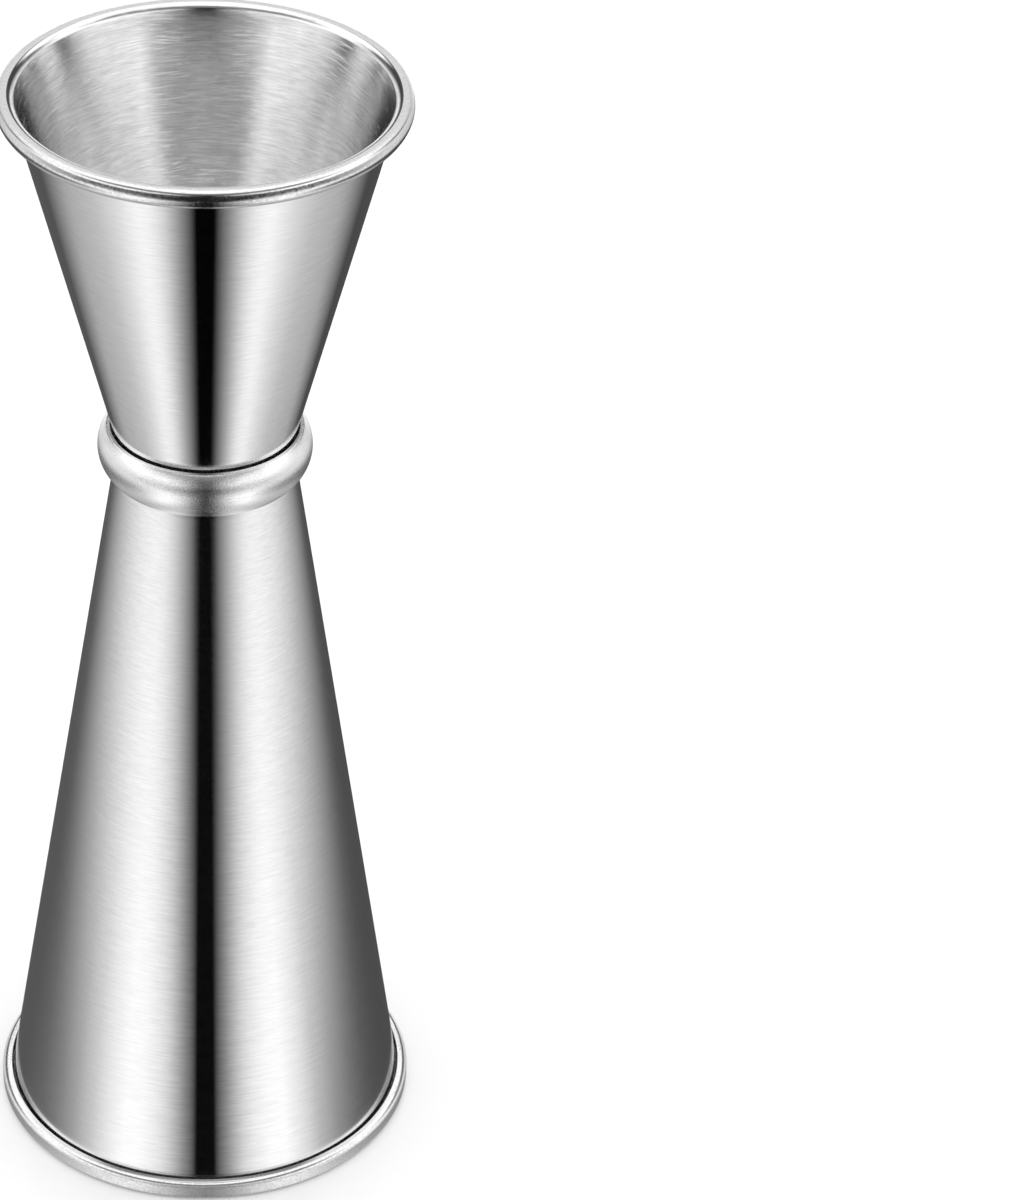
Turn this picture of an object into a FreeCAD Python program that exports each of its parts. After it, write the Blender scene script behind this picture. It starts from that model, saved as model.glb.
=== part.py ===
import FreeCAD, Part
import math
import os

import Sketcher

# A double-ended bar jigger: two sheet-steel cones joined floor to floor, with a half-round collar
# round the waist.  Millimetres, +Z up.  The origin is the centre of the face the jigger stands on,
# so the large cup opens downwards at Z = 0 and the small cup opens upwards at the top.

doc = FreeCAD.newDocument("bar_jigger")

# ---------------------------------------------------------------------------------------------
# Driving dimensions.  A cup wall's radii are of its outside face, carried on to the plane named.
# ---------------------------------------------------------------------------------------------
SIZES = {
    "sheet": 0.5,                     # steel sheet that both cups are drawn from
    "waist_radius": 9.36,             # both walls, at the cup's own floor
    "floor_bend": 1.0,                # inside bend between a cup's floor and its wall
    "small_height": 41.8,             # floor's underside to the rim's land
    "small_mouth_radius": 20.18,      # wall at the rim's land
    "small_curl_reach": 1.32,         # rolled rim, outwards from the wall at the land
    "small_curl_height": 2.0,         # rolled rim, land to underside
    "small_curl_bend": 0.3,           # inside bends of the rolled rim
    "large_height": 85.7,
    "large_mouth_radius": 22.31,
    "large_curl_reach": 0.97,
    "large_curl_height": 2.2,
    "large_curl_bend": 0.15,
    "curl_gap": 0.3,                  # cut edge of the rolled rim to the wall
    "weld_gap": 0.2,                  # between the two floors, bridged by the weld nuggets
    "nugget_radius": 1.5,
    "nugget_circle": 4.0,             # radius of the circle that the nuggets stand on
    "nugget_count": 3,
    "mark_radius": 1.8,               # electrode mark over each nugget, inside both cups
    "mark_depth": 0.1,
    "collar_above": 2.3,              # top of the collar above the large cup's floor
    "collar_below": 3.2,              # underside of the collar below the large cup's floor
    "collar_middle": 0.2,             # its widest line below the large cup's floor
    "collar_gap": 0.35,               # collar's bore to the small cup, at the collar's top
    "collar_wall": 1.24,              # bore to the widest line
    "collar_land": 0.3,               # flat ring left on top, outside the bore
    "collar_foot": 0.15,              # flat ring left underneath, outside the seat
    "collar_edge": 0.15,              # broken edges of the half-round face
    "collar_lip": 0.9,                # height of the lip that seats on the large cup
    "seat_clearance": 0.03,           # film between the large cup and what is brazed to it
    "braze_height": 0.6,              # braze fillet up the large cup's wall, above the lip
    "braze_share": 0.78,              # how much of the ledge inside the bore the braze covers
}

sheet = doc.addObject("Spreadsheet::Sheet", "Sizes")
for row, (name, value) in enumerate(SIZES.items(), start=1):
    sheet.set(f"A{row}", name)
    sheet.set(f"B{row}", str(value))
    sheet.setAlias(f"B{row}", name)
doc.recompute()


def size(name):
    """A driving dimension as a plain number."""
    return float(sheet.get(name))


# ---------------------------------------------------------------------------------------------
# Sketch helpers
# ---------------------------------------------------------------------------------------------
START, END, CENTRE = 1, 2, 3          # Sketcher's numbers for the points of a line or an arc
ORIGIN = (-1, 1)
X_AXIS = -1


def origin_feature(body, role):
    """One of a body's own origin planes or axes."""
    return next(item for item in body.Origin.OriginFeatures if item.Role == role)


def new_sketch(body, name, plane):
    sketch = body.newObject("Sketcher::SketchObject", name)
    sketch.AttachmentSupport = [(origin_feature(body, plane), "")]
    sketch.MapMode = "FlatFace"
    return sketch


def bind(sketch, constraint, expression):
    """Add a dimension and tie it to the sheet."""
    index = sketch.addConstraint(constraint)
    sketch.setExpression(f"Constraints[{index}]", expression)
    return index


def place_point(sketch, item, end, point, across, up):
    """Tie one end of a line, or a point, to expressions for its radius and its height."""
    bind(sketch, Sketcher.Constraint("DistanceX", *ORIGIN, item, end, point[0]), across)
    bind(sketch, Sketcher.Constraint("DistanceY", *ORIGIN, item, end, point[1]), up)


def vector(point):
    return FreeCAD.Vector(point[0], point[1], 0)


def round_corner(before, corner, after, radius):
    """Tangent points and arc for one rounded corner of an outline."""
    to_before = (vector(before) - vector(corner)).normalize()
    to_after = (vector(after) - vector(corner)).normalize()
    half = to_before.getAngle(to_after) / 2
    reach = radius / math.tan(half)
    first = vector(corner) + to_before * reach
    last = vector(corner) + to_after * reach
    bisector = (to_before + to_after).normalize()
    centre = vector(corner) + bisector * (radius / math.sin(half))
    middle = centre - bisector * radius
    return first, last, Part.Arc(first, middle, last)


def draw_outline(sketch, corners):
    """Draw a closed outline from (point, bend) corners, where bend is None or (radius, expression).

    Gives back the sketch's line numbers: line i runs from corner i to corner i + 1."""
    count = len(corners)
    cuts = []
    for i, (point, bend) in enumerate(corners):
        if bend is None:
            cuts.append((vector(point), vector(point), None))
        else:
            cuts.append(round_corner(corners[i - 1][0], point, corners[(i + 1) % count][0], bend[0]))
    lines = []
    for i in range(count):
        segment = Part.LineSegment(cuts[i][1], cuts[(i + 1) % count][0])
        lines.append(sketch.addGeometry(segment, False))
    for i, (point, bend) in enumerate(corners):
        before, after = lines[i - 1], lines[i]
        if bend is None:
            sketch.addConstraint(Sketcher.Constraint("Coincident", before, END, after, START))
            continue
        first, last, arc = cuts[i]
        number = sketch.addGeometry(arc, False)
        arc_ends = (START, END) if same_place(sketch.getPoint(number, START), first) else (END, START)
        sketch.addConstraint(Sketcher.Constraint("Tangent", before, END, number, arc_ends[0]))
        sketch.addConstraint(Sketcher.Constraint("Tangent", number, arc_ends[1], after, START))
        bind(sketch, Sketcher.Constraint("Radius", number, bend[0]), bend[1])
    return lines


def same_place(a, b):
    return (a - b).Length < 1e-6


def level(sketch, *lines):
    for line in lines:
        sketch.addConstraint(Sketcher.Constraint("Horizontal", line))


def upright(sketch, *lines):
    for line in lines:
        sketch.addConstraint(Sketcher.Constraint("Vertical", line))


def revolve(body, sketch):
    """Turn a section about the body's own Z axis."""
    turn = body.newObject("PartDesign::Revolution", f"{sketch.Name}_turned")
    turn.Profile = sketch
    turn.ReferenceAxis = (origin_feature(body, "Z_Axis"), [""])
    turn.Angle = 360
    body.Tip = turn
    sketch.Visibility = False
    return turn


# ---------------------------------------------------------------------------------------------
# Cups.  Both are drawn the same way: a flat floor, a straight conical wall of one sheet thickness,
# and the edge rolled outwards, down and back towards the wall.  The roll is pressed a little flat
# on its crest, so the jigger stands steadily on either rim.
# ---------------------------------------------------------------------------------------------
def make_cup(name):
    prefix = name.split("_")[0]
    thick = size("sheet")
    height = size(f"{prefix}_height")
    waist = size("waist_radius")
    mouth = size(f"{prefix}_mouth_radius")
    rim = mouth + size(f"{prefix}_curl_reach")
    curl = size(f"{prefix}_curl_height")
    curl_bend = size(f"{prefix}_curl_bend")
    floor_bend = size("floor_bend")

    slope = (mouth - waist) / height
    slant = thick * math.hypot(1, slope)          # sheet thickness measured level
    underside = height - curl
    cut_edge = waist + slope * (underside + thick) + size("curl_gap") * math.hypot(1, slope)

    body = doc.addObject("PartDesign::Body", name)
    body.Label = name
    sketch = new_sketch(body, f"{name}_section", "XZ_Plane")
    inside_bend = (curl_bend, f"Sizes.{prefix}_curl_bend")
    outside_bend = (curl_bend + thick, f"Sizes.{prefix}_curl_bend + Sizes.sheet")
    corners = [
        ((0, 0), None),
        ((waist, 0), (floor_bend + thick, "Sizes.floor_bend + Sizes.sheet")),
        ((waist + slope * (height - thick), height - thick), inside_bend),
        ((rim - thick, height - thick), inside_bend),
        ((rim - thick, underside + thick), inside_bend),
        ((cut_edge, underside + thick), None),
        ((cut_edge, underside), None),
        ((rim, underside), outside_bend),
        ((rim, height), outside_bend),
        ((mouth - slant, height), outside_bend),
        ((waist - slant + slope * thick, thick), (floor_bend, "Sizes.floor_bend")),
        ((0, thick), None),
    ]
    (floor_out, wall_out, land_in, flank_in, tuck_in, edge,
     tuck_out, flank_out, land_out, wall_in, floor_in, axis) = draw_outline(sketch, corners)
    level(sketch, floor_out, land_in, tuck_in, tuck_out, land_out, floor_in)
    upright(sketch, flank_in, edge, flank_out, axis)
    sketch.addConstraint(Sketcher.Constraint("Coincident", floor_out, START, *ORIGIN))

    # The wall's outside face runs through one point at each end of the cup.
    low = sketch.addGeometry(Part.Point(vector((waist, 0))), True)
    high = sketch.addGeometry(Part.Point(vector((mouth, height))), True)
    sketch.addConstraint(Sketcher.Constraint("PointOnObject", low, START, X_AXIS))
    bind(sketch, Sketcher.Constraint("DistanceX", *ORIGIN, low, START, waist), "Sizes.waist_radius")
    place_point(sketch, high, START, (mouth, height),
                f"Sizes.{prefix}_mouth_radius", f"Sizes.{prefix}_height")
    sketch.addConstraint(Sketcher.Constraint("PointOnObject", low, START, wall_out))
    sketch.addConstraint(Sketcher.Constraint("PointOnObject", high, START, wall_out))

    # One sheet thickness everywhere.
    sketch.addConstraint(Sketcher.Constraint("Parallel", wall_out, wall_in))
    bind(sketch, Sketcher.Constraint("Distance", low, START, wall_in, thick), "Sizes.sheet")
    for lower, upper in ((floor_out, floor_in), (tuck_out, tuck_in), (land_in, land_out)):
        constraint = Sketcher.Constraint("DistanceY", lower, START, upper, START, thick)
        bind(sketch, constraint, "Sizes.sheet")
    bind(sketch, Sketcher.Constraint("DistanceX", flank_in, START, flank_out, START, thick), "Sizes.sheet")

    # The rolled rim.
    bind(sketch, Sketcher.Constraint("DistanceX", high, START, flank_out, START, rim - mouth),
         f"Sizes.{prefix}_curl_reach")
    bind(sketch, Sketcher.Constraint("DistanceY", *ORIGIN, land_out, START, height), f"Sizes.{prefix}_height")
    bind(sketch, Sketcher.Constraint("DistanceY", tuck_out, START, land_out, START, curl),
         f"Sizes.{prefix}_curl_height")
    bind(sketch, Sketcher.Constraint("Distance", edge, START, wall_out, size("curl_gap")), "Sizes.curl_gap")
    revolve(body, sketch)
    return body


def mark_floor(cup):
    """Sink the shallow electrode marks into the inside of a cup's floor, one over each weld."""
    sketch = new_sketch(cup, f"{cup.Label}_mark", "XY_Plane")
    sketch.setExpression("AttachmentOffset.Base.z", "Sizes.sheet")
    draw_circle(sketch, "nugget_circle", "mark_radius")
    pocket = cup.newObject("PartDesign::Pocket", f"{sketch.Name}_pocket")
    pocket.Profile = sketch
    pocket.setExpression("Length", "Sizes.mark_depth")
    sketch.Visibility = False
    repeat_round(cup, pocket)


def draw_circle(sketch, distance, radius):
    """Draw one circle on the sketch's X axis, bound to two named sizes."""
    circle = Part.Circle(vector((size(distance), 0)), FreeCAD.Vector(0, 0, 1), size(radius))
    number = sketch.addGeometry(circle, False)
    out_from_axis = Sketcher.Constraint("DistanceX", *ORIGIN, number, CENTRE, size(distance))
    sketch.addConstraint(Sketcher.Constraint("PointOnObject", number, CENTRE, X_AXIS))
    bind(sketch, out_from_axis, f"Sizes.{distance}")
    bind(sketch, Sketcher.Constraint("Radius", number, size(radius)), f"Sizes.{radius}")


def repeat_round(body, feature):
    """Repeat a feature round the body's Z axis, once for each weld nugget."""
    pattern = body.newObject("PartDesign::PolarPattern", f"{feature.Name}_round")
    pattern.Originals = [feature]
    pattern.Axis = (origin_feature(body, "Z_Axis"), [""])
    pattern.Angle = 360
    pattern.setExpression("Occurrences", "Sizes.nugget_count")
    body.Tip = pattern


small_cup = make_cup("small_cup")
large_cup = make_cup("large_cup")
for cup in (small_cup, large_cup):
    mark_floor(cup)

# The large cup is turned over, so that its mouth is the base of the jigger.
upside_down = FreeCAD.Rotation(FreeCAD.Vector(1, 0, 0), 180)
large_cup.Placement = FreeCAD.Placement(FreeCAD.Vector(0, 0, size("large_height")), upside_down)
large_cup.setExpression("Placement.Base.z", "Sizes.large_height")
small_cup.setExpression("Placement.Base.z", "Sizes.large_height + Sizes.weld_gap")

# ---------------------------------------------------------------------------------------------
# Spot welds.  Three nuggets bridge the two floors.
# ---------------------------------------------------------------------------------------------
spot_welds = doc.addObject("PartDesign::Body", "spot_welds")
spot_welds.Label = "spot_welds"
spot_welds.AllowCompound = True
nugget_sketch = new_sketch(spot_welds, "nugget", "XY_Plane")
draw_circle(nugget_sketch, "nugget_circle", "nugget_radius")
nugget = spot_welds.newObject("PartDesign::Pad", "nugget_pad")
nugget.Profile = nugget_sketch
nugget.setExpression("Length", "Sizes.weld_gap")
nugget_sketch.Visibility = False
repeat_round(spot_welds, nugget)
spot_welds.setExpression("Placement.Base.z", "Sizes.large_height")

# ---------------------------------------------------------------------------------------------
# Collar.  A solid ring with a half-round face.  Its bore clears both cups; a lip at its lower end
# seats on the large cup's cone, and is held there by a fillet of braze inside the ring.  Heights
# are counted from the large cup's floor.
# ---------------------------------------------------------------------------------------------
def wall_radius(prefix, distance):
    """Outside radius of a cup's wall, a distance from its floor."""
    slope = (size(f"{prefix}_mouth_radius") - size("waist_radius")) / size(f"{prefix}_height")
    return size("waist_radius") + slope * distance


def wall_expression(prefix, distance):
    slope = f"(Sizes.{prefix}_mouth_radius - Sizes.waist_radius) / Sizes.{prefix}_height"
    return f"Sizes.waist_radius + {slope} * ({distance})"


def seat_radius(depth):
    """What is brazed to the large cup has this radius, a depth below the cup's floor."""
    return wall_radius("large", depth) + size("seat_clearance")


def seat_expression(depth):
    return wall_expression("large", depth) + " + Sizes.seat_clearance"


def bore_radius():
    """Collar's bore, which clears the small cup's wall at the collar's top."""
    return wall_radius("small", size("collar_above") - size("weld_gap")) + size("collar_gap")


def bore_expression():
    return wall_expression("small", "Sizes.collar_above - Sizes.weld_gap") + " + Sizes.collar_gap"


def make_collar():
    above = size("collar_above")
    below = size("collar_below")
    lip = below - size("collar_lip")              # the lip's upper face, below the floor
    bore = bore_radius()
    widest = (bore + size("collar_wall"), -size("collar_middle"))
    top_edge = (bore + size("collar_land"), above)
    low_edge = (seat_radius(below) + size("collar_foot"), -below)

    body = doc.addObject("PartDesign::Body", "waist_collar")
    body.Label = "waist_collar"
    sketch = new_sketch(body, "collar_section", "XZ_Plane")
    points = [low_edge, (seat_radius(below), -below), (seat_radius(lip), -lip), (bore, -lip),
              (bore, above), top_edge]
    lines = []
    for before, after in zip(points, points[1:]):
        lines.append(sketch.addGeometry(Part.LineSegment(vector(before), vector(after)), False))
    foot, seat, ledge, bore_wall, land = lines
    arc = Part.Arc(vector(low_edge), vector(widest), vector(top_edge))
    face = sketch.addGeometry(arc, False)
    crown = sketch.addGeometry(Part.Point(vector(widest)), True)
    for before, after in zip(lines, lines[1:]):
        sketch.addConstraint(Sketcher.Constraint("Coincident", before, END, after, START))
    sketch.addConstraint(Sketcher.Constraint("Coincident", face, START, foot, START))
    sketch.addConstraint(Sketcher.Constraint("Coincident", face, END, land, END))
    sketch.addConstraint(Sketcher.Constraint("PointOnObject", crown, START, face))
    level(sketch, foot, ledge, land)
    upright(sketch, bore_wall)

    lip_text = "Sizes.collar_below - Sizes.collar_lip"
    bore_text = bore_expression()
    place_point(sketch, seat, START, points[1], seat_expression("Sizes.collar_below"), "-Sizes.collar_below")
    place_point(sketch, seat, END, points[2], seat_expression(lip_text), f"-({lip_text})")
    place_point(sketch, land, START, points[4], bore_text, "Sizes.collar_above")
    place_point(sketch, crown, START, widest, f"{bore_text} + Sizes.collar_wall", "-Sizes.collar_middle")
    bind(sketch, Sketcher.Constraint("DistanceX", land, START, land, END, size("collar_land")),
         "Sizes.collar_land")
    bind(sketch, Sketcher.Constraint("DistanceX", foot, END, foot, START, size("collar_foot")),
         "Sizes.collar_foot")
    turned = revolve(body, sketch)
    doc.recompute()

    broken = body.newObject("PartDesign::Fillet", "collar_broken_edges")
    broken.Base = (turned, edges_at(turned, (top_edge, low_edge)))
    broken.setExpression("Radius", "Sizes.collar_edge")
    body.Tip = broken
    body.setExpression("Placement.Base.z", "Sizes.large_height")
    return body


def edges_at(feature, circles):
    """Names of a feature's circular edges, found by their (radius, height)."""
    names = []
    for number, edge in enumerate(feature.Shape.Edges, start=1):
        if not isinstance(edge.Curve, Part.Circle):
            continue
        for radius, height in circles:
            if abs(edge.Curve.Radius - radius) < 0.01 and abs(edge.Curve.Center.z - height) < 0.01:
                names.append(f"Edge{number}")
    return names


waist_collar = make_collar()

# ---------------------------------------------------------------------------------------------
# Braze.  A fillet in the corner between the collar's lip and the large cup's wall.
# ---------------------------------------------------------------------------------------------
def make_braze():
    lip = size("collar_below") - size("collar_lip")
    crest = lip - size("braze_height")
    lip_text = "Sizes.collar_below - Sizes.collar_lip"
    corner = (seat_radius(lip), -lip)
    tip = (seat_radius(crest), -crest)
    ledge = bore_radius() - seat_radius(lip)
    toe = (corner[0] + ledge * size("braze_share"), -lip)

    body = doc.addObject("PartDesign::Body", "collar_braze")
    body.Label = "collar_braze"
    sketch = new_sketch(body, "braze_section", "XZ_Plane")
    wall = sketch.addGeometry(Part.LineSegment(vector(corner), vector(tip)), False)
    face = sketch.addGeometry(Part.LineSegment(vector(tip), vector(toe)), False)
    foot = sketch.addGeometry(Part.LineSegment(vector(toe), vector(corner)), False)
    for before, after in ((wall, face), (face, foot), (foot, wall)):
        sketch.addConstraint(Sketcher.Constraint("Coincident", before, END, after, START))
    level(sketch, foot)
    place_point(sketch, wall, START, corner, seat_expression(lip_text), f"-({lip_text})")
    place_point(sketch, wall, END, tip, seat_expression(f"{lip_text} - Sizes.braze_height"),
                f"Sizes.braze_height - ({lip_text})")
    bind(sketch, Sketcher.Constraint("DistanceX", foot, END, foot, START, toe[0] - corner[0]),
         f"({bore_expression()} - ({seat_expression(lip_text)})) * Sizes.braze_share")
    revolve(body, sketch)
    body.setExpression("Placement.Base.z", "Sizes.large_height")
    return body


collar_braze = make_braze()

# ---------------------------------------------------------------------------------------------
# Build, check and write one STEP file for each piece.
# ---------------------------------------------------------------------------------------------
doc.recompute()
PIECES = (small_cup, large_cup, waist_collar, spot_welds, collar_braze)

for item in doc.Objects:
    if "Invalid" in item.State or "Error" in item.State:
        raise RuntimeError(f"{item.Label} failed: {item.State}")
for piece in PIECES:
    if piece.Shape.isNull() or not piece.Shape.isValid():
        raise RuntimeError(f"{piece.Label} has no valid shape")

os.makedirs("parts", exist_ok=True)
for piece in PIECES:
    piece.Shape.exportStep(f"parts/{piece.Label}.step")
    print(f"{piece.Label}: {len(piece.Shape.Solids)} solid(s), {piece.Shape.Volume:.1f} mm3")
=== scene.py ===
# %% [markdown]
# # A double-ended bar jigger
#
# A jigger is the bartender's measure: two cones of thin stainless steel joined floor to floor,
# with a half-round collar round the waist.  Its exact shape is already made, and this lesson
# models the same shape again in a form that carries a worked surface, then builds the studio that
# the metal mirrors.  Steel has almost no look of its own, so half of the work is the room.
#
# The finished shape is loaded first.  It never moves, and every later piece is placed from it.

# %% Load the jigger
import math

import bmesh
import bpy
from mathutils import Matrix, Vector


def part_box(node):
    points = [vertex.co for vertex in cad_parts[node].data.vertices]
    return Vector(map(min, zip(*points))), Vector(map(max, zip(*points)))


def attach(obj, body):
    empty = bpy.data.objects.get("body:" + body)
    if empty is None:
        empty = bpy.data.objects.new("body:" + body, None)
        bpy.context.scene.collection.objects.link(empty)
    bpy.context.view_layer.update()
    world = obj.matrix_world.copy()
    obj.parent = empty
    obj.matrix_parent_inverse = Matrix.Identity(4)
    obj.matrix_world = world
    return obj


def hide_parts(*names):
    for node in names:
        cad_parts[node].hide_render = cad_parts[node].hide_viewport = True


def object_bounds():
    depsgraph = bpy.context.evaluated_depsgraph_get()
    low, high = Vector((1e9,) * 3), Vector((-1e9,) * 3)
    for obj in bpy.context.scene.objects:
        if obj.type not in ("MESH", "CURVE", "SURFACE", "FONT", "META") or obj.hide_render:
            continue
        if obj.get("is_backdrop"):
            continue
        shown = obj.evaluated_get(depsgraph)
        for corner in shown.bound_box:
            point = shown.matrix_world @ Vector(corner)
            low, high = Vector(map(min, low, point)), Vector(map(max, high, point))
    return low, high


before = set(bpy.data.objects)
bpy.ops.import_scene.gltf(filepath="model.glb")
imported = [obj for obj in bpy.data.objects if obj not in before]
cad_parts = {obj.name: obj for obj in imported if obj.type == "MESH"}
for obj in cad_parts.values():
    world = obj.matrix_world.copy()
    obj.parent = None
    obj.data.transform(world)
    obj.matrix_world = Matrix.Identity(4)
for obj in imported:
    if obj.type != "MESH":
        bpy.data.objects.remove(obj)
bpy.ops.object.select_all(action="DESELECT")
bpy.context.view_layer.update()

# %% [markdown]
# ## The camera
#
# A long lens from a little over half a metre keeps the sides of the cones nearly straight.  It
# looks down by about a third of a right angle, so that the mouth shows as an open ellipse.  The
# camera is then swung about its own upright.  That moves the jigger to one side of the picture
# and keeps its axis exactly vertical, which a plain turn to the side would not.

# %% Camera
LENS_MM, SENSOR_MM = 154.56, 36.0
EYE = Vector((0.0, -0.4685, 0.37585))
LOOK_DOWN = 0.5853          # radians below the horizon
SWING = 0.0586              # radians to the right, about the camera's own upright

camera_data = bpy.data.cameras.new("camera")
camera_data.lens, camera_data.sensor_width = LENS_MM, SENSOR_MM
camera_data.clip_start, camera_data.clip_end = 0.01, 20.0
camera = bpy.data.objects.new("camera", camera_data)
bpy.context.scene.collection.objects.link(camera)
tilt = Matrix.Rotation(math.pi / 2 - LOOK_DOWN, 4, "X")
camera.matrix_world = Matrix.Translation(EYE) @ tilt @ Matrix.Rotation(-SWING, 4, "Y")
bpy.context.scene.camera = camera
print("camera stands", round(EYE.length, 3), "m from the jigger's foot")

# %% [markdown]
# ## The floor
#
# The jigger stands on white acrylic: pale, smooth, and only a little glossy, so that a low look
# across it finds a faint reflection.  The floor is kept out of the metal's reflections.  The
# studio round the jigger already decides what the steel mirrors, downwards as well, and a white
# floor seen in the cones would wash the dark band out of them.

# %% Floor
bpy.ops.mesh.primitive_plane_add(size=8.0, location=(0, 0, 0))
floor = bpy.context.object
floor.name = "studio_floor"
floor.visible_glossy = False
floor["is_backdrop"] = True

floor_paint = bpy.data.materials.new("white_acrylic")
floor_paint.use_nodes = True
acrylic = floor_paint.node_tree.nodes["Principled BSDF"]
acrylic.inputs["Base Color"].default_value = (0.82, 0.82, 0.82, 1)
acrylic.inputs["Roughness"].default_value = 0.08
acrylic.inputs["Specular IOR Level"].default_value = 0.3
floor.data.materials.append(floor_paint)
print("floor is", round(floor.dimensions.x, 1), "m wide")

# %% [markdown]
# ## Small helpers for shading trees
#
# The studio and the steel are both drawn with the same few moves: a sum, a curve through given
# stops, a blend of two values.  Each is written once here, so the later steps read as plain
# descriptions.  Greys are given as they look, from 0 to 255, and turned into linear light.

# %% Sums and links
def node(tree, kind, **settings):
    """One new node with its settings."""
    made = tree.nodes.new(kind)
    for name, value in settings.items():
        setattr(made, name, value)
    return made


def feed(tree, socket, value):
    """Put a number on a socket, or link another node's output to it."""
    if isinstance(value, (int, float)):
        socket.default_value = value
    else:
        tree.links.new(value, socket)


def sum_of(tree, operation, *values, clamp=False):
    """One arithmetic node, such as ADD or MULTIPLY."""
    made = node(tree, "ShaderNodeMath", operation=operation, use_clamp=clamp)
    for socket, value in zip(made.inputs, values):
        feed(tree, socket, value)
    return made.outputs[0]


def blend(tree, share, a, b):
    """A value that is a where the share is 0 and b where it is 1."""
    made = node(tree, "ShaderNodeMix", data_type="FLOAT")
    for number, value in ((0, share), (2, a), (3, b)):
        feed(tree, made.inputs[number], value)
    return made.outputs[0]


# %% Curves
def curve(tree, value, low, high, stops):
    """A value that follows stops of (place, value 0 to 1) between low and high."""
    span = float(high - low)
    place = sum_of(tree, "DIVIDE", sum_of(tree, "SUBTRACT", value, float(low)), span, clamp=True)
    made = node(tree, "ShaderNodeValToRGB")
    made.color_ramp.interpolation = "LINEAR"
    elements = made.color_ramp.elements
    while len(elements) < len(stops):
        elements.new(1.0)
    for element, (at, level) in zip(elements, stops):
        element.position = (at - low) / span
        element.color = (level, level, level, 1)
    tree.links.new(place, made.inputs["Fac"])
    return made.outputs["Color"]


def greys(stops):
    """The same stops with each grey turned from how it looks into linear light."""
    def linear(grey):
        share = grey / 255
        return share / 12.92 if share <= 0.04045 else ((share + 0.055) / 1.055) ** 2.4
    return [(place, linear(grey)) for place, grey in stops]


print("a middle grey of 128 is", round(greys([(0, 128)])[0][1], 3), "in linear light")

# %% [markdown]
# ## The studio: which way a ray looks
#
# Product photographers put a shiny turned piece inside a white tent and leave one dark slot in
# front, where the lens looks through.  The slot returns as the black band down the middle of each
# cone.  The tent here is painted on the world itself, by direction alone, so it stays put from
# every angle.  Two numbers say where a ray looks: how far round from the front, and how high.

# %% Directions
world = bpy.data.worlds.new("studio")
bpy.context.scene.world = world
world.use_nodes = True
sky = world.node_tree
sky.nodes.clear()

looks = node(sky, "ShaderNodeSeparateXYZ")
sky.links.new(node(sky, "ShaderNodeTexCoord").outputs["Generated"], looks.inputs[0])
to_right, to_back, upward = looks.outputs
turn = sum_of(sky, "ARCTAN2", to_right, sum_of(sky, "MULTIPLY", to_back, -1.0))
around = sum_of(sky, "DEGREES", sum_of(sky, "ABSOLUTE", turn))    # 0 in front, 180 behind
height = sum_of(sky, "DEGREES", sum_of(sky, "ARCSINE", upward))   # -90 to 90
on_right = sum_of(sky, "GREATER_THAN", to_right, 0.0)
print("the sky tree has", len(sky.nodes), "nodes for its directions")

# %% [markdown]
# ### The dark slot
#
# The band on the metal is as wide at the foot of a cone as at its waist.  A narrow part of a cone
# spreads the same slot over fewer millimetres, so a slot of one width would taper.  The tent's
# opening therefore widens and narrows with height, as two hanging curtains would, and its edges
# are soft because the curtains are lit from behind.

# %% Slot
NARROWEST = 2.0             # where the slot is narrowest, one degree round counts as two
slot_narrowing = curve(sky, height, -90, 90, [
    (-90, .26), (-61.5, .26), (-57, .56), (-42, .55), (-22, .84), (-15.5, .38), (4, .38),
    (12, 1), (18, 1), (24, .42), (36, .42), (44, 1), (90, 1)])
scaled = sum_of(sky, "MULTIPLY", around, sum_of(sky, "MULTIPLY", slot_narrowing, NARROWEST))
slot = curve(sky, scaled, 0, 90, [
    (0, 0), (8, 0), (12.1, .117), (20, .283), (28.5, .515), (36, .72), (45, .87), (60, 1)])
print("slot closes at 60 scaled degrees")

# %% [markdown]
# ### The walls of the tent
#
# Beside the slot the cloth is brightest, and it falls off towards the back, where the lamps do
# not reach.  The falloff is steep a little below the horizon, and gentle both deeper down and
# above.  The lower cone looks a little below the horizon, so its sides go dark.  The front of the
# upper cone looks far deeper and stays light.  Low down the right side is a little darker than
# the left, because the main lamp is on the left.

# %% Walls
DEEP = greys([(0, 250), (48, 247), (60, 233), (74, 208), (92, 182), (112, 168), (135, 156),
              (162, 148), (180, 144)])
LOW_LEFT = greys([(0, 253), (47, 250), (58, 211), (69, 160), (82, 116), (96, 94), (112, 84),
                  (136, 76), (180, 75)])
LOW_RIGHT = greys([(0, 253), (47, 250), (58, 202), (69, 136), (82, 94), (96, 76), (112, 68),
                   (136, 66), (180, 66)])
HIGH = greys([(0, 250), (42, 246), (58, 242), (80, 232), (105, 214), (145, 188), (162, 236),
              (180, 248)])

deep_wall, left_wall, right_wall, high_wall = (curve(sky, around, 0, 180, stops)
                                               for stops in (DEEP, LOW_LEFT, LOW_RIGHT, HIGH))
low_wall = blend(sky, on_right, left_wall, right_wall)
to_deep = curve(sky, height, -60, 0, [(-45, 1), (-38, 0)])
to_high = curve(sky, height, -60, 0, [(-27.5, 0), (-19.5, 1)])
walls = blend(sky, to_high, blend(sky, to_deep, low_wall, deep_wall), high_wall)
walls = sum_of(sky, "MULTIPLY", walls, slot)
print("walls fall from", round(LOW_LEFT[0][1], 2), "to", round(LOW_LEFT[-1][1], 2))

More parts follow.
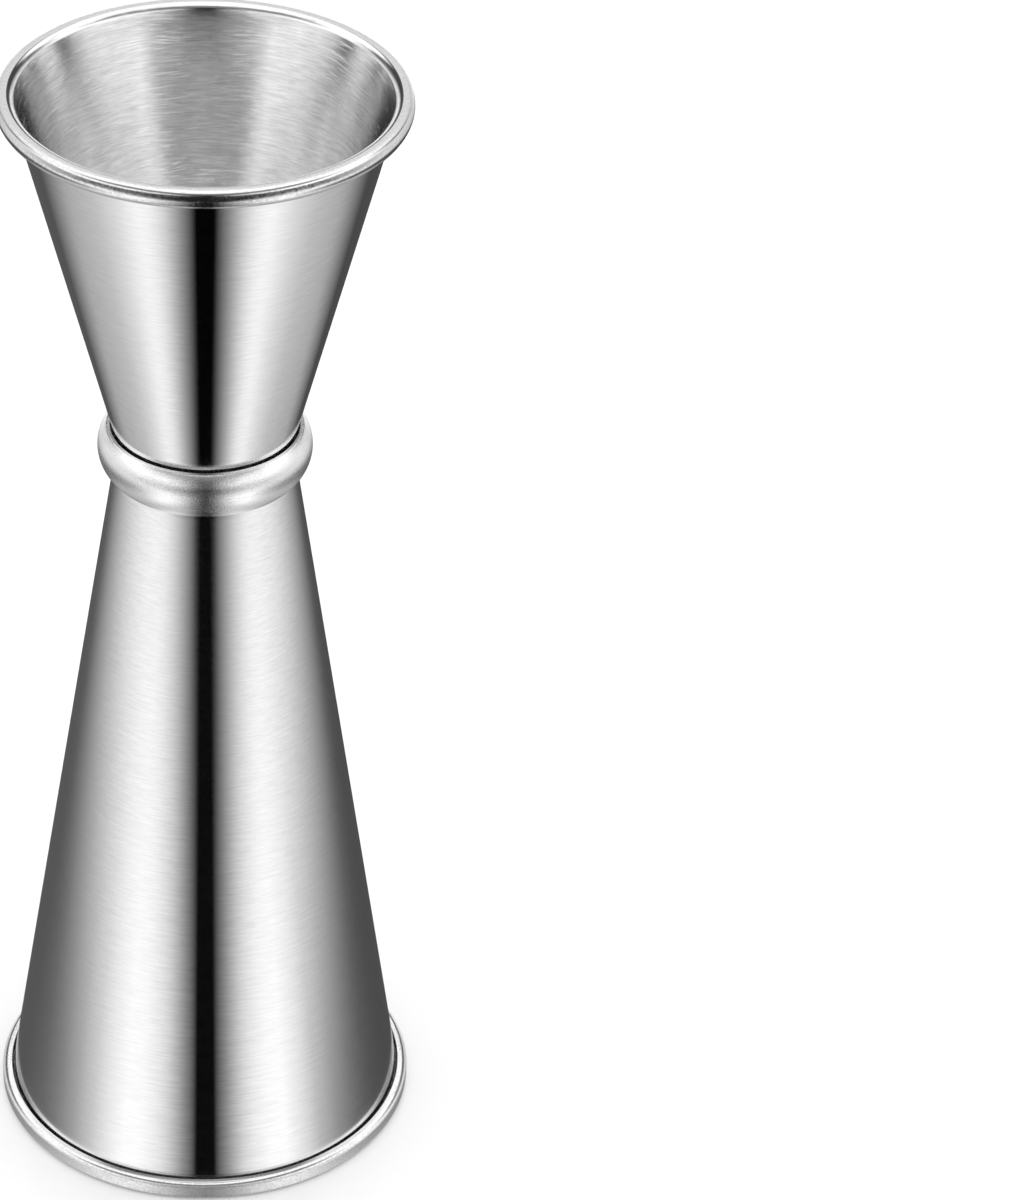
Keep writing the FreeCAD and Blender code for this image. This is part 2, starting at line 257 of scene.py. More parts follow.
# %% [markdown]
# ### The room's edge
#
# Between the walls and the ceiling runs a dark line, the edge of the table that the tent stands
# on.  The rolled rims are the only surface that looks straight at it, and it draws the thin black
# line round them.  The line is broad in front and gone at the back, where the lamps stand.  At the
# sides it dips, so that the floor, seen from low down, mirrors the clean wall above it.

# %% Edge
EDGE_LEVEL, SIDE_LEVEL = -1.5, -7.5     # degrees above the horizon, in front and at the sides
EDGE_REACH = 20.0           # degrees that a share of one stands for
half = sum_of(sky, "MULTIPLY", curve(sky, around, 0, 180, [
    (0, .38), (18, .36), (38, .25), (100, .22), (180, .22)]), EDGE_REACH)
level = blend(sky, curve(sky, around, 0, 180, [(45, 0), (85, 1)]), EDGE_LEVEL, SIDE_LEVEL)
away = sum_of(sky, "ABSOLUTE", sum_of(sky, "SUBTRACT", height, level))
away = sum_of(sky, "DIVIDE", away, sum_of(sky, "ADD", half, 0.01))
edge = curve(sky, away, 0, 2, [(0, .02), (.8, .02), (1.25, 1)])
edge = blend(sky, curve(sky, around, 0, 180, [(62, 0), (118, 1)]), edge, 1.0)
print("edge line lies", -EDGE_LEVEL, "degrees below the horizon in front")

# %% [markdown]
# ### Above the edge
#
# The far wall of the cup's inside mirrors the near wall, and that one looks up and back: a
# bright curtain at each side with an unlit stretch of room between them.  They come back as the
# pale and dark bands inside the cup.  Right overhead the tent is plain bright cloth, with a dim
# flap in front that keeps the deep part of the cup from glowing.

# %% Ceiling
BEHIND = greys([(0, 250), (45, 254), (99, 254), (111, 196), (123, 108), (142, 70), (160, 54),
                (172, 66), (180, 92)])
FLAP = greys([(0, 112), (72, 122), (95, 250), (180, 252)])
CLOTH = 0.97
TO_CEILING, TO_FLAP, TO_CLOTH = (8, 20), (32, 37), (60, 68)     # heights where one meets the next


def rising(heights, low, high):
    """A share that goes from 0 to 1 between two heights, on a curve from low to high."""
    start, end = heights
    return curve(sky, height, low, high, [(start, 0), (end, 1)])


ceiling = sum_of(sky, "MULTIPLY", curve(sky, around, 0, 180, BEHIND), slot)
flap = curve(sky, around, 0, 180, FLAP)
above = blend(sky, rising(TO_FLAP, 0, 90), ceiling, flap)
above = blend(sky, rising(TO_CLOTH, 0, 90), above, CLOTH)
light = blend(sky, rising(TO_CEILING, -90, 90), walls, above)
light = sum_of(sky, "MULTIPLY", light, edge)
print("the whole sky tree has", len(sky.nodes), "nodes")

# %% [markdown]
# ### Two lights in one
#
# Mirrored rays see the tent.  Every other ray sees plain white, which lights the floor evenly and
# gives a clean backdrop.  A real studio does the same with two rooms: the piece sits in the tent,
# and the backdrop behind it is lit on its own.

# %% Turn on the lights
TENT_STRENGTH, BACKDROP_STRENGTH = 1.40, 1.42

tent = node(sky, "ShaderNodeBackground")
sky.links.new(light, tent.inputs["Color"])
tent.inputs["Strength"].default_value = TENT_STRENGTH
backdrop = node(sky, "ShaderNodeBackground")
backdrop.inputs["Color"].default_value = (1, 1, 1, 1)
backdrop.inputs["Strength"].default_value = BACKDROP_STRENGTH
either = node(sky, "ShaderNodeMixShader")
sky.links.new(node(sky, "ShaderNodeLightPath").outputs["Is Glossy Ray"], either.inputs[0])
sky.links.new(backdrop.outputs[0], either.inputs[1])
sky.links.new(tent.outputs[0], either.inputs[2])
sky.links.new(either.outputs[0], node(sky, "ShaderNodeOutputWorld").inputs["Surface"])
bpy.context.scene.view_settings.view_transform = "Standard"
print("tent at", TENT_STRENGTH, "and backdrop at", BACKDROP_STRENGTH)

# %% [markdown]
# ## Turning, as on a lathe
#
# Real jiggers are spun: a flat disc of steel is pressed over a turning form until it is a cone,
# and its rim is rolled over.  Every piece here is drawn the same way, ring by ring.  A circle is
# laid down, and each extrusion draws it on to the next radius and level.  It could also be a
# profile put through the spin tool, but rings keep the corners where they are wanted, and a bend
# can then be rounded by picking its ring.

# %% Rings
TURNS = 192                 # faces round every turned piece


def start_turning(name, radius, level, filled):
    """A ring of vertices round the axis, in edit mode and selected."""
    bpy.ops.object.select_all(action="DESELECT")
    fill = "NGON" if filled else "NOTHING"
    bpy.ops.mesh.primitive_circle_add(vertices=TURNS, radius=radius, fill_type=fill,
                                      location=(0, 0, 0))
    piece = bpy.context.object
    piece.name = piece.data.name = name
    bpy.ops.object.mode_set(mode="EDIT")
    bpy.ops.mesh.select_all(action="SELECT")
    bpy.ops.transform.translate(value=(0, 0, level))
    return piece


def draw_out(before, after):
    """Extrude the selected ring from one (radius, level) to the next."""
    step = (0, 0, after[1] - before[1])
    bpy.ops.mesh.extrude_region_move(TRANSFORM_OT_translate={"value": step})
    size = after[0] / before[0]
    bpy.ops.transform.resize(value=(size, size, 1), center_override=(0, 0, after[1]))


# %% Picking and bending
NEAR = 2e-5                 # a ring counts as found within this distance


def pick_ring(piece, radius, level):
    """Select the ring of edges at one (radius, level)."""
    mesh = bmesh.from_edit_mesh(piece.data)
    for part in (*mesh.verts, *mesh.edges, *mesh.faces):
        part.select = False
    for edge in mesh.edges:
        if all(abs(math.hypot(v.co.x, v.co.y) - radius) < NEAR
               and abs(v.co.z - level) < NEAR for v in edge.verts):
            edge.select = True
    mesh.select_flush_mode()
    bmesh.update_edit_mesh(piece.data)


def bend(piece, place, width, segments):
    """Round off the ring of edges at one (radius, level)."""
    pick_ring(piece, *place)
    bpy.ops.mesh.bevel(offset=width, segments=segments, profile=0.5, affect="EDGES",
                       clamp_overlap=False)


def bend_width(radius, angle):
    """How far a bend of this inside radius reaches along each side of its corner."""
    return radius * math.tan(angle / 2)


print("a square corner bent to 1 mm reaches",
      round(1000 * bend_width(0.001, math.pi / 2), 2), "mm")

# %% [markdown]
# ## The two cups
#
# A cup is one sheet from the middle of its floor to the cut end of its rolled rim.  Its section
# has five corners: the edge of the floor, the mouth, the shoulder of the roll, its foot, and the
# cut edge tucked back towards the wall.  The large cup is the same shape turned over, so one
# routine makes both and a sign says which way is up.  Both cups are as wide as each other at the
# floor, where they meet.

# %% Section
SHEET = 0.0005              # thickness of the steel
WAIST = 0.00936             # outside radius of both walls at their floors
TUCK = 0.0002               # gap between the wall and the cut end of the roll


def cup_section(height, rim, mouth, roll_height, lean, roll_bend):
    """The five corners as (radius, distance from the floor)."""
    slope = (mouth - WAIST) / height
    slant = math.hypot(1, slope)
    inner_floor = WAIST - SHEET * slant + slope * SHEET
    inner_mouth = mouth - SHEET * slant
    foot = rim + roll_bend * (1 / math.cos(lean) - 1 + math.tan(lean))
    shoulder = foot - roll_height * math.tan(lean)
    underside = height - roll_height
    cut = WAIST + slope * (underside + SHEET) + TUCK * slant
    return [(inner_floor, SHEET), (inner_mouth, height), (shoulder, height),
            (foot, underside), (cut, underside)]


print("walls lie", round(1000 * WAIST, 2), "mm from the axis at the waist")

# %% [markdown]
# The corners of that section are then rounded to the radius each has on a spun cup.  The mouth's
# own bend is the lip that liquid pours over.  The small cup's roll leans in a little and has a
# round foot, so it shows a bright crown and a black line; the large cup's roll stands upright,
# since it is the foot that the jigger stands on.

# %% Turn the sheet
FLOOR_BEND = 0.001          # inside radius of the floor's corner
FLOOR_RING = 0.002          # width of the ring left round the flat middle of the floor
FLOOR_STEPS, LIP_STEPS, EDGE_STEPS, ROLL_STEPS = 6, 8, 8, 14    # faces along each bend


def turn_cup(name, place, section, lean, lip_bend, edge_bend, roll_bend):
    """Draw the section out ring by ring and round its corners."""
    piece = start_turning(name, *place(section[0]), filled=True)
    bpy.ops.mesh.inset(thickness=FLOOR_RING)
    pick_ring(piece, *place(section[0]))
    for before, after in zip(section, section[1:]):
        draw_out(place(before), place(after))
    (floor_radius, floor_depth), (mouth_radius, mouth_depth) = section[:2]
    rise = math.atan2(mouth_depth - floor_depth, mouth_radius - floor_radius)
    bends = ((FLOOR_BEND, rise, FLOOR_STEPS), (lip_bend, rise, LIP_STEPS),
             (edge_bend, math.pi / 2 - lean, EDGE_STEPS),
             (roll_bend, math.pi / 2 + lean, ROLL_STEPS))
    for corner, (radius, angle, segments) in zip(section, bends):
        bend(piece, place(corner), bend_width(radius, angle), segments)
    return piece


# %% [markdown]
# The long wall is one tall strip of faces so far.  It is cut into rings, so that the shading of
# the bends stops at the first ring and the wall mirrors as a true cone.

# %% Rings along the wall
WALL_RINGS = 31


def ring_the_wall(piece, height):
    """Cut rings into the edges that run along the wall."""
    bpy.ops.mesh.select_mode(type="EDGE")
    bpy.ops.mesh.select_all(action="DESELECT")
    mesh = bmesh.from_edit_mesh(piece.data)
    for edge in mesh.edges:
        if abs(edge.verts[0].co.z - edge.verts[1].co.z) > height / 2:
            edge.select = True
    bmesh.update_edit_mesh(piece.data)
    bpy.ops.mesh.subdivide(number_cuts=WALL_RINGS)
    bpy.ops.mesh.select_mode(type="VERT")


# %% [markdown]
# What has been drawn is the face that touches the drink.  The thickness is added on the other
# side of it, so the faces must first agree which way they look: inside the wall, towards the axis.

# %% Thickness
SMOOTH_BELOW = math.radians(35)     # sharper corners than this stay crisp


def thicken(piece, middle):
    """Face the sheet inwards, then give it its thickness on the outside."""
    bpy.ops.mesh.select_all(action="SELECT")
    bpy.ops.mesh.normals_make_consistent(inside=False)
    mesh = bmesh.from_edit_mesh(piece.data)
    wall = min(mesh.faces, key=lambda face: abs(face.calc_center_median().z - middle))
    centre = wall.calc_center_median()
    if wall.normal.x * centre.x + wall.normal.y * centre.y > 0:
        bpy.ops.mesh.flip_normals()
    bpy.ops.object.mode_set(mode="OBJECT")
    sheet = piece.modifiers.new("sheet", "SOLIDIFY")
    sheet.thickness, sheet.offset, sheet.use_even_offset = SHEET, -1.0, True
    bpy.ops.object.modifier_apply(modifier=sheet.name)
    piece.select_set(True)
    bpy.ops.object.shade_smooth_by_angle(angle=SMOOTH_BELOW)


# %% Make both cups
def make_cup(name, node_name, up, mouth, roll_height, lean, lip_bend, edge_bend, roll_bend):
    """Turn, ring and thicken one cup, opening upwards where up is 1 and downwards where -1."""
    low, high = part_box(node_name)
    floor_level = low.z if up > 0 else high.z
    height = high.z - low.z
    section = cup_section(height, high.x, mouth, roll_height, lean, roll_bend)

    def place(corner):
        return corner[0], floor_level + up * corner[1]

    piece = turn_cup(name, place, section, lean, lip_bend, edge_bend, roll_bend)
    ring_the_wall(piece, height)
    thicken(piece, floor_level + up * height / 2)
    print(name, "is", round(1000 * piece.dimensions.x, 2), "mm wide and",
          round(1000 * piece.dimensions.z, 2), "mm tall, with", len(piece.data.polygons), "faces")
    return piece


SMALL_MOUTH, LARGE_MOUTH = 0.02018, 0.02231
small_cup = make_cup("small_cup_brushed", "small_cup", up=+1, mouth=SMALL_MOUTH,
                     roll_height=0.00213, lean=math.radians(14), lip_bend=0.0008,
                     edge_bend=0.00052, roll_bend=0.0011)
large_cup = make_cup("large_cup_brushed", "large_cup", up=-1, mouth=LARGE_MOUTH,
                     roll_height=0.0022, lean=0.0, lip_bend=0.00065,
                     edge_bend=0.00065, roll_bend=0.00065)

# %% [markdown]
# ## The electrode marks
#
# The cups are spot-welded floor to floor.  The welder's two electrodes press from the inside of
# each cup and leave a shallow round mark at each of the three welds.  Three short rods, joined
# into one, are cut away from the floor to sink them.

# %% Electrode marks
WELDS, WELD_CIRCLE = 3, 0.004           # how many, and how far from the axis
MARK_RADIUS, MARK_DEPTH = 0.0018, 0.0001
ROD, ROD_SIDES = 0.001, 48              # length and roundness of each rod


def sink_marks(piece, face_level, up):
    """Cut the marks into the floor of one cup, from its inside."""
    rods = []
    for number in range(WELDS):
        angle = number * math.tau / WELDS
        middle = face_level + up * (ROD / 2 - MARK_DEPTH)
        spot = (WELD_CIRCLE * math.cos(angle), WELD_CIRCLE * math.sin(angle), middle)
        bpy.ops.mesh.primitive_cylinder_add(vertices=ROD_SIDES, radius=MARK_RADIUS, depth=ROD,
                                            location=spot)
        rods.append(bpy.context.object)
    bpy.ops.object.select_all(action="DESELECT")
    for rod in rods:
        rod.select_set(True)
    bpy.context.view_layer.objects.active = rods[0]
    bpy.ops.object.join()
    bpy.ops.object.select_all(action="DESELECT")
    piece.select_set(True)
    bpy.context.view_layer.objects.active = piece
    marks = piece.modifiers.new("marks", "BOOLEAN")
    marks.operation, marks.object, marks.solver = "DIFFERENCE", rods[0], "EXACT"
    bpy.ops.object.modifier_apply(modifier=marks.name)
    bpy.data.objects.remove(rods[0])


before = len(small_cup.data.polygons)
sink_marks(small_cup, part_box("small_cup")[0].z + SHEET, +1)
sink_marks(large_cup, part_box("large_cup")[1].z - SHEET, -1)
print("the marks added", len(small_cup.data.polygons) - before, "faces to the small cup")

# %% [markdown]
# ## The collar
#
# The collar hides the joint and gives the fingers something to turn on.  It is cut from tube and
# turned to a round face: one arc from its top land, out past its widest line, and back under to
# the cone it sits on.  The arc is found from those three places.  The bore is stepped, and the
# ledge inside rests on the shoulder of the large cup.

# %% Collar section
LAND_BEHIND, BORE_BEHIND = 0.00094, 0.00134     # how far each lies inside the widest line
WIDEST_LEVEL, LEDGE_LEVEL = 0.0030, 0.0009      # above the collar's foot
FOOT_RADIUS, SEAT_RADIUS, LEDGE_RADIUS = 0.010024, 0.009874, 0.009738
ARC_STEPS = 24


def circle_through(a, b, c):
    """Centre and radius of the circle through three places."""
    twice = 2 * (a[0] * (b[1] - c[1]) + b[0] * (c[1] - a[1]) + c[0] * (a[1] - b[1]))
    squares = [p[0] ** 2 + p[1] ** 2 for p in (a, b, c)]
    across = sum(q * (d[1] - e[1]) for q, d, e in zip(squares, (b, c, a), (c, a, b))) / twice
    along = sum(q * (e[0] - d[0]) for q, d, e in zip(squares, (b, c, a), (c, a, b))) / twice
    return (across, along), math.hypot(a[0] - across, a[1] - along)


low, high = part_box("waist_collar")
land, widest, foot = ((high.x - LAND_BEHIND, high.z), (high.x, low.z + WIDEST_LEVEL),
                      (FOOT_RADIUS, low.z))
centre, arc_radius = circle_through(land, widest, foot)
first, last = (math.atan2(p[1] - centre[1], p[0] - centre[0]) for p in (land, foot))
angles = [first + (last - first) * step / ARC_STEPS for step in range(ARC_STEPS + 1)]
round_face = [(centre[0] + arc_radius * math.cos(a), centre[1] + arc_radius * math.sin(a))
              for a in angles]
bore = high.x - BORE_BEHIND
collar_section = [(bore, high.z), *round_face, (SEAT_RADIUS, low.z),
                  (LEDGE_RADIUS, low.z + LEDGE_LEVEL), (bore, low.z + LEDGE_LEVEL), (bore, high.z)]
print("the collar's face is an arc of", round(1000 * arc_radius, 2), "mm")

# %% Turn the collar
EASED, EASED_STEPS = 0.00012, 4     # both ends of the face are eased with a file
SAME_PLACE = 1e-6           # the section's two ends meet and are joined

collar = start_turning("waist_collar_satin", *collar_section[0], filled=False)
for before, after in zip(collar_section, collar_section[1:]):
    draw_out(before, after)
bpy.ops.mesh.select_all(action="SELECT")
bpy.ops.mesh.remove_doubles(threshold=SAME_PLACE)
bend(collar, land, EASED, EASED_STEPS)
bend(collar, foot, EASED, EASED_STEPS)
bpy.ops.mesh.select_all(action="SELECT")
bpy.ops.mesh.normals_make_consistent(inside=False)
bpy.ops.object.mode_set(mode="OBJECT")
bpy.ops.object.shade_smooth_by_angle(angle=SMOOTH_BELOW)
print("collar is", round(1000 * collar.dimensions.x, 2), "mm wide with",
      len(collar.data.polygons), "faces")

# %% [markdown]
# ## Putting the new pieces in their places
#
# Each new piece stands in for the one it was measured from and moves with the whole jigger.  The
# welds and the braze inside the collar keep the shape they came with.

# %% Ride and replace
for piece, node_name, slot_name in ((small_cup, "small_cup", "cup_steel"),
                                    (large_cup, "large_cup", "cup_steel"),
                                    (collar, "waist_collar", "collar_steel")):
    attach(piece, "root")
    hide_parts(node_name)
print("pieces:", [piece.name for piece in (small_cup, large_cup, collar)])

# %% [markdown]
# ## Shared effects
#
# Brushing, rubbed arcs and speckle are each built once as a group, because a finisher uses the
# same belt and the same cloth on every part.  All three are drawn in the jigger's own metres.  A
# place is given by its direction round the axis and by how far it lies along the section, so a
# line drawn at one place along runs round the piece as a belt would leave it.

# %% Groups
def new_group(name, inputs, outputs):
    """A group of shading nodes with its inputs, their usual values, and its outputs."""
    group = bpy.data.node_groups.new(name, "ShaderNodeTree")
    for label, value in inputs:
        socket = group.interface.new_socket(name=label, in_out="INPUT",
                                            socket_type="NodeSocketFloat")
        socket.default_value = value
    for label in outputs:
        group.interface.new_socket(name=label, in_out="OUTPUT", socket_type="NodeSocketFloat")
    given = group.nodes.new("NodeGroupInput").outputs
    return group, given, group.nodes.new("NodeGroupOutput").inputs


def round_the_axis(tree):
    """The direction round the axis as (x, y) of length one, and the way along the section."""
    split = node(tree, "ShaderNodeSeparateXYZ")
    tree.links.new(node(tree, "ShaderNodeTexCoord").outputs["Object"], split.inputs[0])
    x, y, z = split.outputs
    squares = sum_of(tree, "ADD", sum_of(tree, "MULTIPLY", x, x), sum_of(tree, "MULTIPLY", y, y))
    radius = sum_of(tree, "MAXIMUM", sum_of(tree, "SQRT", squares), 1e-5)
    along = sum_of(tree, "ADD", z, sum_of(tree, "MULTIPLY", radius, 0.6))
    return sum_of(tree, "DIVIDE", x, radius), sum_of(tree, "DIVIDE", y, radius), along


def drawn_noise(tree, place, round_scale, along_scale, detail, shift):
    """Noise drawn out round the axis.  The shift makes one draw differ from another."""
    x, y, along = place
    stretched = node(tree, "ShaderNodeCombineXYZ")
    feed(tree, stretched.inputs[0], sum_of(tree, "MULTIPLY", x, round_scale))
    feed(tree, stretched.inputs[1], sum_of(tree, "MULTIPLY", y, round_scale))
    feed(tree, stretched.inputs[2], sum_of(tree, "MULTIPLY_ADD", along, along_scale, shift))
    noise = node(tree, "ShaderNodeTexNoise")
    noise.inputs["Scale"].default_value = 1.0
    noise.inputs["Detail"].default_value = detail
    noise.inputs["Roughness"].default_value = 0.6
    tree.links.new(stretched.outputs[0], noise.inputs["Vector"])
    return noise.outputs["Fac"]


# %% [markdown]
# Brushing is two layers of fine lines.  The belt's fine grit lays the close lines, and its worn
# coarse grains lay wider and shorter ones, about three times as far apart.

# %% Brushing
COARSE_REACH, COARSE_CLOSE, COARSE_SHARE = 1.7, 0.31, 0.4

brushing, given, result = new_group("brushing", [("Spacing", 0.0002), ("Reach", 0.5)],
                                    ["Lines", "Height"])
place = round_the_axis(brushing)
close = sum_of(brushing, "DIVIDE", 1.0, given["Spacing"])
reach = sum_of(brushing, "DIVIDE", 1.0, given["Reach"])
fine = drawn_noise(brushing, place, reach, close, 2.0, 0.0)
coarse = drawn_noise(brushing, place, sum_of(brushing, "MULTIPLY", reach, COARSE_REACH),
                     sum_of(brushing, "MULTIPLY", close, COARSE_CLOSE), 2.0, 37.0)
both = blend(brushing, COARSE_SHARE, fine, coarse)
feed(brushing, result["Lines"], curve(brushing, both, 0, 1, [(0.32, 0), (0.68, 1)]))
feed(brushing, result["Height"], both)
print("brushing group has", len(brushing.nodes), "nodes")

# %% [markdown]
# The inside of a cup is rubbed by a cloth and by the measure's own use.  Its arcs are short,
# bright and crowded in patches, and they wander a little off level as a hand does.

# %% Rubbed arcs
rubbed, given, result = new_group("rubbed_arcs", [("Spacing", 0.0006), ("Reach", 0.9),
                                                  ("Amount", 0.5)], ["Arcs"])
x, y, along = round_the_axis(rubbed)
close = sum_of(rubbed, "DIVIDE", 1.0, given["Spacing"])
reach = sum_of(rubbed, "DIVIDE", 1.0, given["Reach"])
wander = drawn_noise(rubbed, (x, y, along), 1.1, 90.0, 1.0, 11.0)
off_level = sum_of(rubbed, "MULTIPLY_ADD", wander, 0.004, along)
arcs = drawn_noise(rubbed, (x, y, off_level), reach, close, 3.0, 5.0)
patches = curve(rubbed, drawn_noise(rubbed, (x, y, along), 2.2, 160.0, 2.0, 71.0), 0, 1,
                [(0.38, 0.15), (0.62, 1)])
bar = sum_of(rubbed, "SUBTRACT", 0.78, sum_of(rubbed, "MULTIPLY", given["Amount"], 0.3))
sharp = sum_of(rubbed, "MULTIPLY", sum_of(rubbed, "SUBTRACT", arcs, bar), 9.0, clamp=True)
feed(rubbed, result["Arcs"], sum_of(rubbed, "MULTIPLY", sharp, patches))
print("rubbed arcs group has", len(rubbed.nodes), "nodes")

# %% [markdown]
# Speckle is the grain of metal that was tumbled or handled and not brushed: small pits with
# bright ground between them.

# %% Speckle
speckle, given, result = new_group("speckle", [("Size", 0.0002)], ["Grains", "Height"])
grain = node(speckle, "ShaderNodeTexNoise")
grain.inputs["Detail"].default_value = 3.0
speckle.links.new(node(speckle, "ShaderNodeTexCoord").outputs["Object"], grain.inputs["Vector"])
feed(speckle, grain.inputs["Scale"], sum_of(speckle, "DIVIDE", 1.0, given["Size"]))
feed(speckle, result["Grains"], curve(speckle, grain.outputs["Fac"], 0, 1,
                                      [(0.35, 0), (0.65, 1)]))
feed(speckle, result["Height"], grain.outputs["Fac"])
print("speckle group has", len(speckle.nodes), "nodes")

# %% [markdown]
# ## Steel
#
# Every finish starts as the same bare metal.  Where a belt has run, its lines go round the piece
# and stretch the highlights along the section.  That keeps the dark band's sides crisp while it
# blurs everything above and below.  The stretch, the fine lines, their colour and how dull they
# are change from one finish to the next.

# %% Steel
def use(tree, group, **values):
    """One use of a group, with its inputs set, as its outputs."""
    made = node(tree, "ShaderNodeGroup", node_tree=group)
    for name, value in values.items():
        made.inputs[name].default_value = value
    return made.outputs


def tones(tree, share, a, b):
    """A colour between two others.  Each is a number for a grey, or an output."""
    made = node(tree, "ShaderNodeMix", data_type="RGBA")
    for label, value in (("A", a), ("B", b)):
        if isinstance(value, tuple):
            made.inputs[label].default_value = (*value, 1)
        elif isinstance(value, (int, float)):
            made.inputs[label].default_value = (value, value, value, 1)
        else:
            tree.links.new(value, made.inputs[label])
    tree.links.new(share, made.inputs["Factor"])
    return made.outputs["Result"]


def steel(name, stretch):
    """A bare steel with its highlights stretched by this much, and no surface on it yet."""
    material = bpy.data.materials.new(name)
    material.use_nodes = True
    tree = material.node_tree
    shader = tree.nodes["Principled BSDF"]
    shader.inputs["Metallic"].default_value = 1.0
    shader.inputs["Anisotropic"].default_value = stretch
    shader.inputs["Anisotropic Rotation"].default_value = 0.25
    tangent = node(tree, "ShaderNodeTangent", direction_type="RADIAL", axis="Z")
    tree.links.new(tangent.outputs[0], shader.inputs["Tangent"])
    return material, tree, shader


def surface(tree, shader, colour, dullness, relief, depth):
    """Give a steel its colour, its dullness and a relief this many metres deep."""
    tree.links.new(colour, shader.inputs["Base Color"])
    tree.links.new(dullness, shader.inputs["Roughness"])
    bump = node(tree, "ShaderNodeBump")
    bump.inputs["Distance"].default_value = depth
    tree.links.new(relief, bump.inputs["Height"])
    tree.links.new(bump.outputs[0], shader.inputs["Normal"])


# %% [markdown]
# The outside walls are the show side.  The lines are fine and shallow, so the cone still mirrors
# the tent like a dark and a bright ribbon, and shows its brushing only close up.

# %% Outside walls
outside, tree, shader = steel("cup_wall_brushed", 1.0)
lines = use(tree, brushing, Spacing=0.00013, Reach=0.18)
surface(tree, shader, tones(tree, lines["Lines"], 0.81, 0.735),
        curve(tree, lines["Lines"], 0, 1, [(0, 0.08), (1, 0.11)]), lines["Height"], 0.0000016)
print("outside walls:", outside.name)

# %% [markdown]
# The inside is brushed too, with a coarser belt, and rubbed bright in arcs over that.

# %% Inside
inside, tree, shader = steel("cup_inside_rubbed", 1.0)
lines = use(tree, brushing, Spacing=0.00016, Reach=0.16)
arcs = use(tree, rubbed, Spacing=0.00026, Reach=0.22, Amount=0.72)
ground = tones(tree, lines["Lines"], 0.93, 0.66)
relief = sum_of(tree, "ADD", lines["Height"], arcs["Arcs"])
surface(tree, shader, tones(tree, arcs["Arcs"], ground, 0.98),
        curve(tree, arcs["Arcs"], 0, 1, [(0, 0.13), (1, 0.28)]), relief, 0.000005)
print("inside:", inside.name)

# %% [markdown]
# The roll of the small rim is polished by the thumb that pours, and lightly pitted by knocks
# against the shaker.  Its flat top and the foot of the large cup rest on steel and stone, and
# stay dull and speckled.

# %% Rims
polished, tree, shader = steel("rolled_rim_handled", 0.3)
grains = use(tree, speckle, Size=0.00022)
lines = use(tree, brushing, Spacing=0.00020, Reach=0.25)
worn = sum_of(tree, "MULTIPLY", grains["Grains"], lines["Lines"])
surface(tree, shader, tones(tree, worn, 0.80, 0.62),
        curve(tree, worn, 0, 1, [(0, 0.12), (1, 0.30)]), grains["Height"], 0.000008)

dull, tree, shader = steel("rolled_rim_dull", 0.0)
grains = use(tree, speckle, Size=0.00020)
surface(tree, shader, tones(tree, grains["Grains"], 0.98, 0.76),
        curve(tree, grains["Grains"], 0, 1, [(0, 0.34), (1, 0.48)]), grains["Height"], 0.000010)
print("rims:", polished.name, "and", dull.name)

# %% [markdown]
# The collar is satin.  It was turned and then blasted, so it is paler than the cups, and the dark
# slot comes back in it as a soft shadow and not as a line.

# %% Collar
satin, tree, shader = steel("collar_satin", 0.8)
grains = use(tree, speckle, Size=0.00012)
lines = use(tree, brushing, Spacing=0.00022, Reach=0.3)
worn = sum_of(tree, "MULTIPLY", grains["Grains"], lines["Lines"])
surface(tree, shader, tones(tree, worn, 0.93, 0.80),
        curve(tree, worn, 0, 1, [(0, 0.22), (1, 0.36)]), grains["Height"], 0.000014)
print("collar:", satin.name)

# %% [markdown]
# Two more finishes are hardly ever seen.  A spot weld is steel that has melted and gone straw
# coloured; silver braze is warmer and smoother than steel, and wrinkles as it freezes.

# %% Weld and braze
STRAW, SLATE = (0.62, 0.52, 0.38), (0.34, 0.36, 0.42)
WARM, PALE = (0.86, 0.80, 0.68), (0.74, 0.70, 0.62)

weld, tree, shader = steel("spot_weld_tinted", 0.0)
grains = use(tree, speckle, Size=0.0006)
surface(tree, shader, tones(tree, grains["Grains"], STRAW, SLATE),
        curve(tree, grains["Grains"], 0, 1, [(0, 0.35), (1, 0.6)]), grains["Height"], 0.00002)

braze, tree, shader = steel("silver_braze", 0.0)
grains = use(tree, speckle, Size=0.0004)
surface(tree, shader, tones(tree, grains["Grains"], WARM, PALE),
        curve(tree, grains["Grains"], 0, 1, [(0, 0.22), (1, 0.38)]), grains["Height"], 0.00002)
print("hidden joints:", weld.name, "and", braze.name)

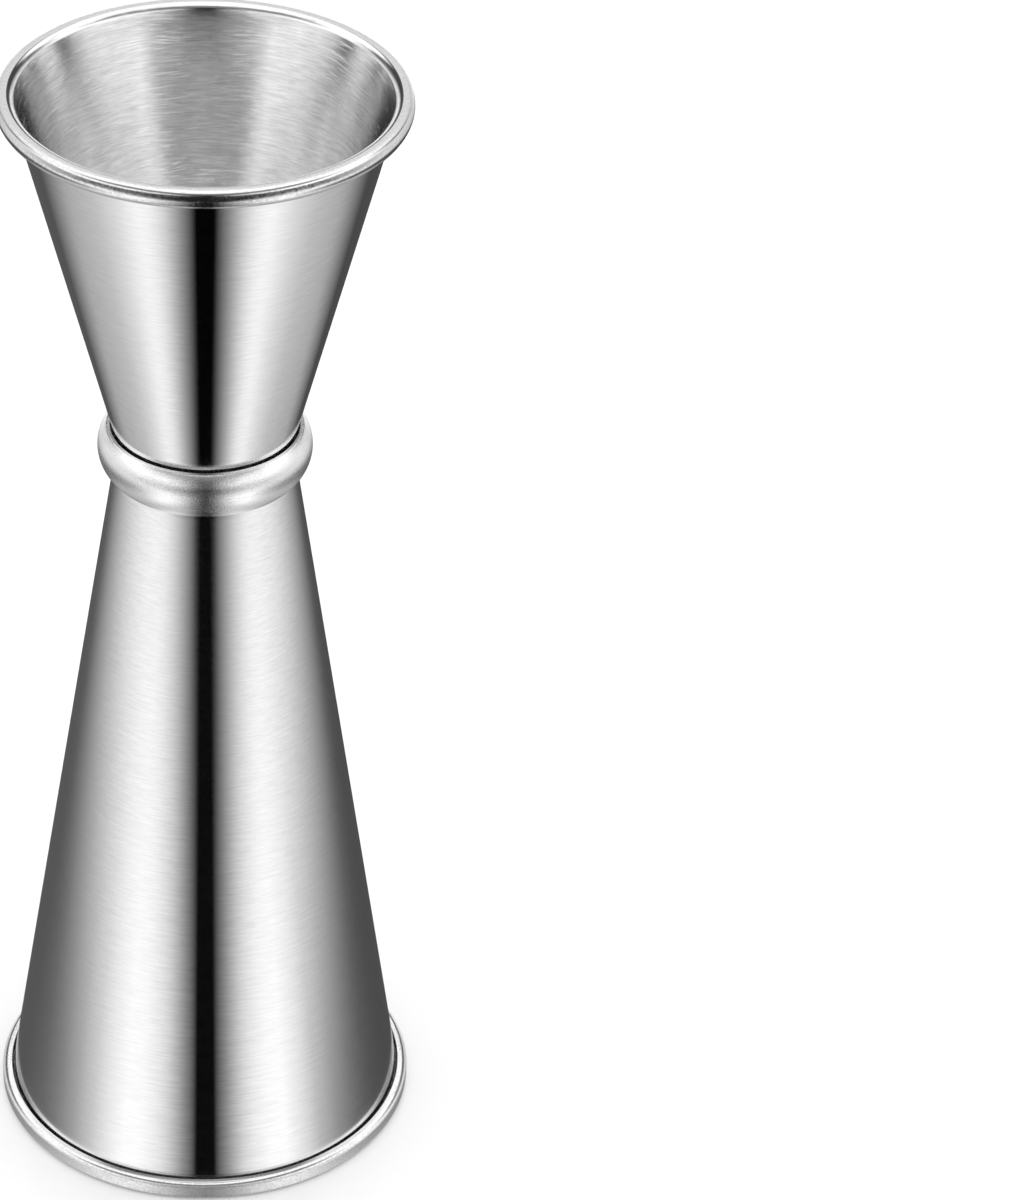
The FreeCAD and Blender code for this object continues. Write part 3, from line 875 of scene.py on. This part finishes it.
# %% [markdown]
# ## Which finish goes where
#
# A cup carries four finishes, and a face is given one by where it lies: inside the middle of the
# sheet, on the roll beyond the wall, on the dull part of the roll, or on the outside wall.

# %% Share out the finishes
OUTSIDE, INSIDE, POLISHED, DULL = range(4)
ROLL_DEPTH, TOP_DEPTH = 0.0023, 0.00012     # below the mouth: the roll, and its flat top
ROLL_CLEAR = 0.00008        # how far outside the wall the roll begins
UPRIGHT, FLANK_RADIUS = 0.8, 0.0225         # what counts as the outer flank of the foot


def finish_for(radius, depth, outward, height, mouth, stands_on_it):
    """The finish of a face this far from the axis and the floor, looking outwards so much."""
    wall = WAIST + (mouth - WAIST) * depth / height
    if radius < wall - SHEET / 2 and depth > SHEET / 2:
        return INSIDE
    if radius <= wall + ROLL_CLEAR or depth <= height - ROLL_DEPTH:
        return OUTSIDE
    if stands_on_it:
        return DULL if outward > UPRIGHT and radius > FLANK_RADIUS else POLISHED
    return DULL if depth > height - TOP_DEPTH else POLISHED


def share_out(piece, floor_level, height, mouth, stands_on_it):
    """Give every face of a cup its finish."""
    for material in (outside, inside, polished, dull):
        piece.data.materials.append(material)
    counts = [0, 0, 0, 0]
    for face in piece.data.polygons:
        spot, way = face.center, face.normal
        radius = max(math.hypot(spot.x, spot.y), 1e-9)
        outward = (way.x * spot.x + way.y * spot.y) / radius
        face.material_index = finish_for(radius, abs(spot.z - floor_level), outward, height,
                                         mouth, stands_on_it)
        counts[face.material_index] += 1
    print(piece.name, "faces by finish:", counts)


low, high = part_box("small_cup")
share_out(small_cup, low.z, high.z - low.z, SMALL_MOUTH, False)
low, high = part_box("large_cup")
share_out(large_cup, high.z, high.z - low.z, LARGE_MOUTH, True)

# %% Finish the collar and the joints
collar.data.materials.append(satin)
for node_name, material in (("spot_welds", weld), ("collar_braze", braze)):
    for slot_of_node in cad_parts[node_name].material_slots:
        slot_of_node.material = material

# %% [markdown]
# ## The last measurement
#
# The new pieces must take up the same room as the shape they came from.  The box of everything
# still shown is printed, in millimetres.

# %% Size and finish
low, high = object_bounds()
print("visual box in mm:", [round(1000 * v, 2) for v in (*low, *high)])
